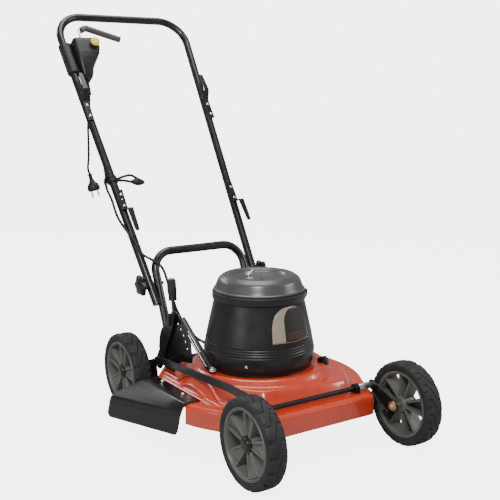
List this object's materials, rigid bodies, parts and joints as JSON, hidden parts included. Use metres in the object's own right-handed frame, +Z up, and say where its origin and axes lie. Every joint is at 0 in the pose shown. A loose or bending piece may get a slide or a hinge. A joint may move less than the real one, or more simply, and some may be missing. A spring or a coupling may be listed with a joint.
{
  "type": "push lawn mower",
  "caption": "Electric push lawn mower: pressed-steel deck, treaded wheels on linked cranks, height lever, domed motor cover, folding tube handle, squeeze switch and short supply lead.",
  "frame": {"origin": "centre of the footprint of the whole machine without its hanging lead, on the ground", "axes": "+X towards the machine's left side, +Y rearwards to the push bar, +Z up; the discharge is on -X"},
  "size_m": [0.6009, 1.1486, 1.0471],
  "materials": {
    "red_enamel": "glossy orange-red enamel on pressed steel",
    "black_coat": "semi-gloss black powder coat on steel",
    "charcoal_plastic": "fine-textured charcoal moulding",
    "knob_plastic": "matt black moulding",
    "rim_plastic": "matt grey moulding",
    "tyre_rubber": "dull black treaded rubber",
    "black_rubber": "satin black rubber and cable sheath",
    "bright_zinc": "bright zinc plating",
    "bare_steel": "machined and rolled steel",
    "laminations": "stacked motor laminations",
    "yellow_plastic": "glossy yellow button",
    "sleeve_plastic": "grey plastic sleeve"
  },
  "bodies": {
    "deck": {"deck_shell": "red_enamel", "discharge_deflector": "black_coat", "front_axle_block_left": "black_coat", "front_axle_block_right": "black_coat", "rear_axle_block_left": "black_coat", "rear_axle_block_right": "black_coat", "height_quadrant": "black_coat", "handle_bracket_left": "black_coat", "lower_handle": "black_coat", "motor_housing": "bare_steel", "upper_bearing": "bare_steel", "lower_bearing": "bare_steel", "motor_cover": "charcoal_plastic", "cover_lid": "charcoal_plastic", "motor_cable": "black_rubber"},
    "blade_rotor": {"motor_shaft": "bare_steel", "rotor": "laminations", "cooling_fan": "charcoal_plastic", "blade_adaptor": "bare_steel", "cutting_blade": "bare_steel", "blade_bolt": "bright_zinc"},
    "front_axle": {"front_axle_rod": "black_coat", "front_link_pin": "bright_zinc", "front_crank_left": "black_coat", "front_crank_right": "black_coat", "front_wheel_bolt_left": "bright_zinc", "front_wheel_bolt_right": "bright_zinc"},
    "rear_axle": {"rear_axle_rod": "black_coat", "rear_link_pin": "bright_zinc", "rear_crank_left": "black_coat", "rear_crank_right": "black_coat", "rear_wheel_bolt_left": "bright_zinc", "rear_wheel_bolt_right": "bright_zinc", "height_lever": "black_coat", "lever_grip": "black_rubber"},
    "height_link": {"link_bar": "black_coat"},
    "front_wheel_left": {"front_rim_left": "rim_plastic", "front_tyre_left": "tyre_rubber"},
    "front_wheel_right": {"front_rim_right": "rim_plastic", "front_tyre_right": "tyre_rubber"},
    "rear_wheel_left": {"rear_rim_left": "rim_plastic", "rear_tyre_left": "tyre_rubber"},
    "rear_wheel_right": {"rear_rim_right": "rim_plastic", "rear_tyre_right": "tyre_rubber"},
    "handle": {"upper_handle": "black_coat", "upper_cord_hook_left": "black_coat", "upper_cord_hook_right": "black_coat", "lower_cord_hook_left": "black_coat", "lower_cord_hook_right": "black_coat", "switch_housing": "charcoal_plastic", "micro_switch": "charcoal_plastic", "cord_restraint": "black_rubber", "supply_lead": "black_rubber", "lead_plug": "black_rubber", "handle_cable": "black_rubber"},
    "knob_left": {"star_knob_left": "knob_plastic"},
    "knob_right": {"star_knob_right": "knob_plastic"},
    "squeeze_lever": {"switch_lever": "bright_zinc", "lever_sleeve": "sleeve_plastic"},
    "push_button": {"lock_button": "yellow_plastic"}
  },
  "joints": [
    {"name": "height_adjust", "type": "hinge", "parent": "deck", "child": "rear_axle", "pos_m": [0.04295, 0.0397, 0.132], "axis": [1, 0, 0], "range_deg": [0, 34]},
    {"name": "front_axle_turn", "type": "hinge", "parent": "deck", "child": "front_axle", "pos_m": [0.04295, -0.3993, 0.132], "axis": [1, 0, 0], "range_deg": [-34, 0]},
    {"name": "height_link_turn", "type": "hinge", "parent": "rear_axle", "child": "height_link", "pos_m": [-0.14355, 0.028, 0.0937], "axis": [1, 0, 0], "range_deg": [-34, 0]},
    {"name": "front_wheel_spin_left", "type": "hinge", "parent": "front_axle", "child": "front_wheel_left", "pos_m": [0.26095, -0.4743, 0.1], "axis": [1, 0, 0], "continuous": true},
    {"name": "front_wheel_spin_right", "type": "hinge", "parent": "front_axle", "child": "front_wheel_right", "pos_m": [-0.17505, -0.4743, 0.1], "axis": [1, 0, 0], "continuous": true},
    {"name": "rear_wheel_spin_left", "type": "hinge", "parent": "rear_axle", "child": "rear_wheel_left", "pos_m": [0.26095, 0.1147, 0.1], "axis": [1, 0, 0], "continuous": true},
    {"name": "rear_wheel_spin_right", "type": "hinge", "parent": "rear_axle", "child": "rear_wheel_right", "pos_m": [-0.17505, 0.1147, 0.1], "axis": [1, 0, 0], "continuous": true},
    {"name": "blade_spin", "type": "hinge", "parent": "deck", "child": "blade_rotor", "pos_m": [0.04295, -0.1798, 0.1], "axis": [0, 0, 1], "continuous": true},
    {"name": "handle_fold", "type": "hinge", "parent": "deck", "child": "handle", "pos_m": [0.04295, 0.0853, 0.3301], "axis": [1, 0, 0], "range_deg": [0, 75]},
    {"name": "knob_turn_left", "type": "hinge", "parent": "handle", "child": "knob_left", "pos_m": [0.22895, 0.0853, 0.3301], "axis": [1, 0, 0], "continuous": true},
    {"name": "knob_turn_right", "type": "hinge", "parent": "handle", "child": "knob_right", "pos_m": [-0.14305, 0.0853, 0.3301], "axis": [1, 0, 0], "continuous": true},
    {"name": "switch_squeeze", "type": "hinge", "parent": "handle", "child": "squeeze_lever", "pos_m": [-0.10705, 0.51217, 0.9782], "axis": [0, -0.828, 0.5608], "range_deg": [0, 26], "stiffness_Nm_per_rad": 1, "springref_deg": -8.59},
    {"name": "lock_button_press", "type": "slide", "parent": "handle", "child": "push_button", "axis": [0, 0.828, -0.5608], "range_m": [0, 0.005], "stiffness_N_per_m": 600, "springref_m": -0.002}
  ],
  "couplings": [
    {"joint": "front_axle_turn", "follows": "height_adjust", "ratio": -1},
    {"joint": "height_link_turn", "follows": "height_adjust", "ratio": -1}
  ]
}
